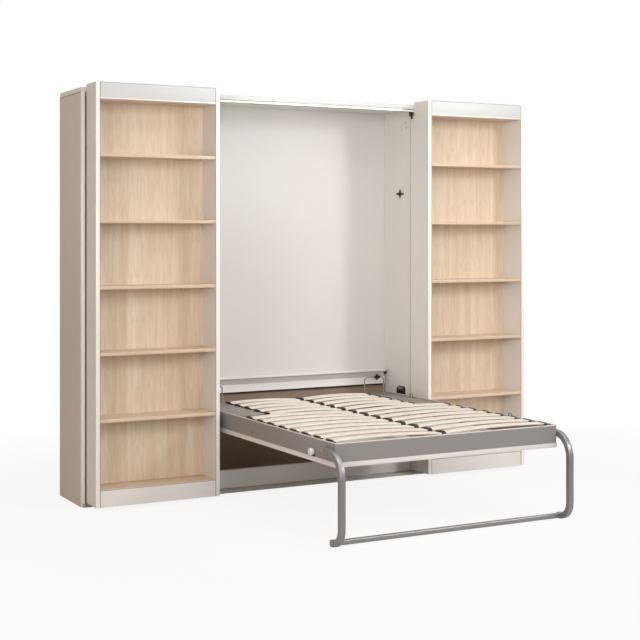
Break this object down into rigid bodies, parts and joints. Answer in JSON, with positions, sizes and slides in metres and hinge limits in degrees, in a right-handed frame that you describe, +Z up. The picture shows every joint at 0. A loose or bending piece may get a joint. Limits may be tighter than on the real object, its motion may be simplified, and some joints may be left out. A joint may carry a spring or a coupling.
{
  "type": "wall bed with bookcase",
  "caption": "Fold-down double wall bed with a slatted frame and a folding U leg, in a shallow cabinet flanked by open sliding bookcases.",
  "frame": {"origin": "centre of the bounding box on the floor plane", "axes": "+X along the wall to the right as seen from the front, +Y back into the wall, +Z up"},
  "size_m": [2.913, 1.9424, 2.322],
  "materials": {
    "white_board": "satin laminate",
    "maple_board": "satin laminate",
    "brown_board": "matte laminate",
    "grey_rail": "satin powder coat",
    "silver_tube": "metallic powder coat",
    "pale_metal": "satin",
    "black_plastic": "matte",
    "beech_slat": "bare wood, satin"
  },
  "bodies": {
    "cabinet": {"left_outer_side": "white_board", "right_outer_side": "white_board", "left_divider": "white_board", "right_divider": "white_board", "top_panel": "white_board", "back_panel": "white_board", "plinth_board": "white_board", "head_ledge": "white_board", "lower_back_board": "brown_board", "top_guide_rail": "pale_metal", "floor_track": "pale_metal", "left_pivot_bracket": "black_plastic", "left_latch_catch": "black_plastic", "right_pivot_bracket": "black_plastic", "right_latch_catch": "black_plastic"},
    "left_bookcase": {"left_bookcase_outer_side": "white_board", "left_bookcase_inner_side": "white_board", "left_bookcase_header": "white_board", "left_bookcase_kick_board": "white_board", "left_bookcase_back": "maple_board", "left_bookcase_base_shelf": "maple_board", "left_bookcase_shelf_1": "maple_board", "left_bookcase_shelf_2": "maple_board", "left_bookcase_shelf_3": "maple_board", "left_bookcase_shelf_4": "maple_board", "left_bookcase_shelf_5": "maple_board"},
    "right_bookcase": {"right_bookcase_outer_side": "white_board", "right_bookcase_inner_side": "white_board", "right_bookcase_header": "white_board", "right_bookcase_kick_board": "white_board", "right_bookcase_back": "maple_board", "right_bookcase_base_shelf": "maple_board", "right_bookcase_shelf_1": "maple_board", "right_bookcase_shelf_2": "maple_board", "right_bookcase_shelf_3": "maple_board", "right_bookcase_shelf_4": "maple_board", "right_bookcase_shelf_5": "maple_board"},
    "bed": {"left_side_rail": "grey_rail", "right_side_rail": "grey_rail", "foot_rail": "grey_rail", "head_rail": "grey_rail", "centre_beam": "grey_rail", "face_panel": "white_board", "left_cover_plate": "grey_rail", "right_cover_plate": "grey_rail", "slat_row_01": "beech_slat", "slat_row_02": "beech_slat", "slat_row_03": "beech_slat", "slat_row_04": "beech_slat", "slat_row_05": "beech_slat", "slat_row_06": "beech_slat", "slat_row_07": "beech_slat", "slat_row_08": "beech_slat", "slat_row_09": "beech_slat", "slat_row_10": "beech_slat", "slat_row_11": "beech_slat", "slat_row_12": "beech_slat", "slat_row_13": "beech_slat"},
    "leg": {"leg_frame": "silver_tube"}
  },
  "joints": [
    {"name": "bed_fold", "type": "hinge", "parent": "cabinet", "child": "bed", "pos_m": [0, 0.75625, 0.46], "axis": [-1, 0, 0], "range_deg": [0, 90]},
    {"name": "leg_fold", "type": "hinge", "parent": "bed", "child": "leg", "pos_m": [0, -0.78475, 0.4492], "axis": [1, 0, 0], "range_deg": [0, 90]},
    {"name": "left_bookcase_slide", "type": "slide", "parent": "cabinet", "child": "left_bookcase", "axis": [1, 0, 0], "range_m": [-0.004, 0.001]},
    {"name": "right_bookcase_slide", "type": "slide", "parent": "cabinet", "child": "right_bookcase", "axis": [-1, 0, 0], "range_m": [-0.004, 0.001]}
  ]
}
